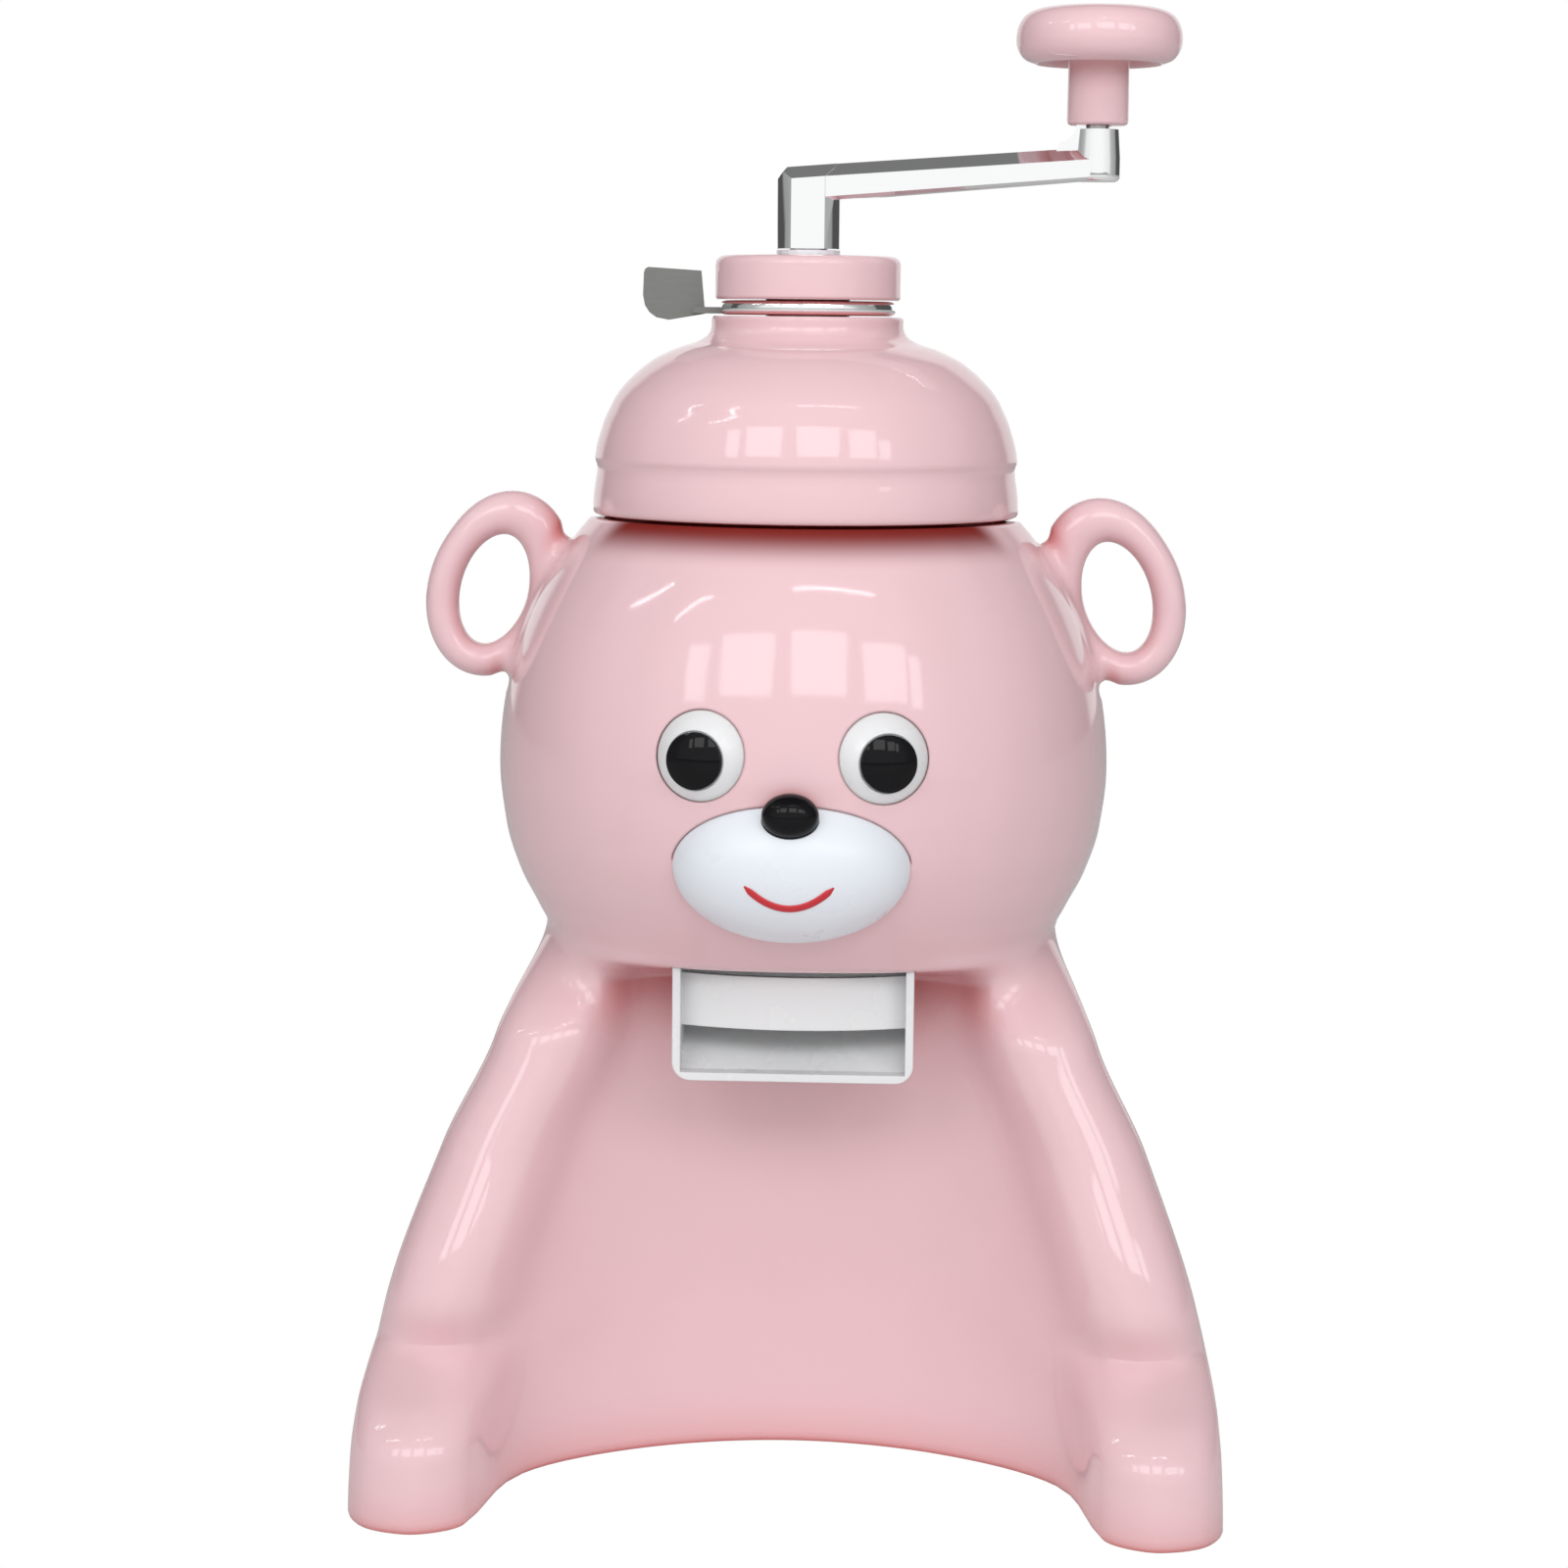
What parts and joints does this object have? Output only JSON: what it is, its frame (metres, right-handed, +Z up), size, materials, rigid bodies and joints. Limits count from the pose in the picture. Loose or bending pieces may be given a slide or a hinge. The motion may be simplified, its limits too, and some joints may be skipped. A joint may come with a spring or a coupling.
{
  "type": "ice crusher",
  "caption": "Hand cranked ice crusher: a bear shaped stand with loop ear handles, a hat shaped lid, a chromed crank and an outlet chute over a bowl bay.",
  "frame": {"origin": "on the table, where the crank's axis meets it", "axes": "+Z up along the crank's axis, -Y the way the face looks, +X towards the knob"},
  "size_m": [0.212, 0.18, 0.368],
  "materials": {
    "pink_plastic": "glossy moulded",
    "white_plastic": "glossy moulded",
    "milky_plastic": "satin moulded",
    "black_plastic": "glossy",
    "chrome": "polished plating",
    "steel": "satin",
    "cast_metal": "cast",
    "brass": "machined",
    "rubber": "matte"
  },
  "bodies": {
    "root": {"front_shell": "pink_plastic", "rear_shell": "pink_plastic", "shell_screw_1": "steel", "shell_screw_2": "steel", "shell_screw_3": "steel", "shell_screw_4": "steel", "front_foot_pad_left": "rubber", "front_foot_pad_right": "rubber", "rear_foot_pad_left": "rubber", "rear_foot_pad_right": "rubber", "ice_chamber": "milky_plastic", "blade_plate": "steel", "blade": "steel", "blade_screw_1": "steel", "blade_screw_2": "steel", "chute": "white_plastic", "muzzle": "white_plastic", "nose": "black_plastic", "eye_pin_left": "steel", "eye_pin_right": "steel"},
    "lid": {"lid": "pink_plastic", "cap": "pink_plastic", "neck_bush": "brass", "nut_housing": "white_plastic"},
    "release_lever": {"release_lever": "chrome"},
    "half_nut": {"half_nut": "brass"},
    "crank_carrier": {"crank_washer": "milky_plastic"},
    "crank": {"crank_shaft": "steel", "crank_arm": "chrome", "pusher_disc": "cast_metal", "knob_pin": "steel"},
    "knob": {"crank_knob": "pink_plastic"},
    "eye_left": {"eye_white_left": "white_plastic", "pupil_left": "black_plastic"},
    "eye_right": {"eye_white_right": "white_plastic", "pupil_right": "black_plastic"},
    "eye_link": {"eye_link_bar": "steel"}
  },
  "joints": [
    {"name": "lid_lift", "type": "slide", "parent": "root", "child": "lid", "axis": [0, 0, 1], "range_m": [0, 0.15]},
    {"name": "release_turn", "type": "hinge", "parent": "lid", "child": "release_lever", "pos_m": [0, 0, 0.293], "axis": [0, 0, 1], "range_deg": [0, 25]},
    {"name": "half_nut_slide", "type": "slide", "parent": "lid", "child": "half_nut", "axis": [0, 1, 0], "range_m": [0, 0.002]},
    {"name": "crank_draw", "type": "slide", "parent": "lid", "child": "crank_carrier", "axis": [0, 0, 1], "range_m": [0, 0.09]},
    {"name": "crank_spin", "type": "hinge", "parent": "crank_carrier", "child": "crank", "pos_m": [0, 0, 0.3078], "axis": [0, 0, 1], "continuous": true},
    {"name": "knob_spin", "type": "hinge", "parent": "crank", "child": "knob", "pos_m": [0.072, 0, 0.339], "axis": [0, 0, 1], "continuous": true},
    {"name": "eye_left_turn", "type": "hinge", "parent": "root", "child": "eye_left", "pos_m": [-0.01962, -0.06575, 0.187], "axis": [0, 0, 1], "range_deg": [-12, 12]},
    {"name": "eye_right_turn", "type": "hinge", "parent": "root", "child": "eye_right", "pos_m": [0.01962, -0.06575, 0.187], "axis": [0, 0, 1], "range_deg": [-12, 12]},
    {"name": "eye_link_slide", "type": "slide", "parent": "root", "child": "eye_link", "axis": [1, 0, 0], "range_m": [-0.003, 0.003]}
  ],
  "couplings": [
    {"joint": "half_nut_slide", "follows": "release_turn", "m_per_rad": 0.00458},
    {"joint": "eye_right_turn", "follows": "eye_left_turn", "ratio": 1},
    {"joint": "eye_link_slide", "follows": "eye_left_turn", "m_per_rad": -0.0143}
  ]
}
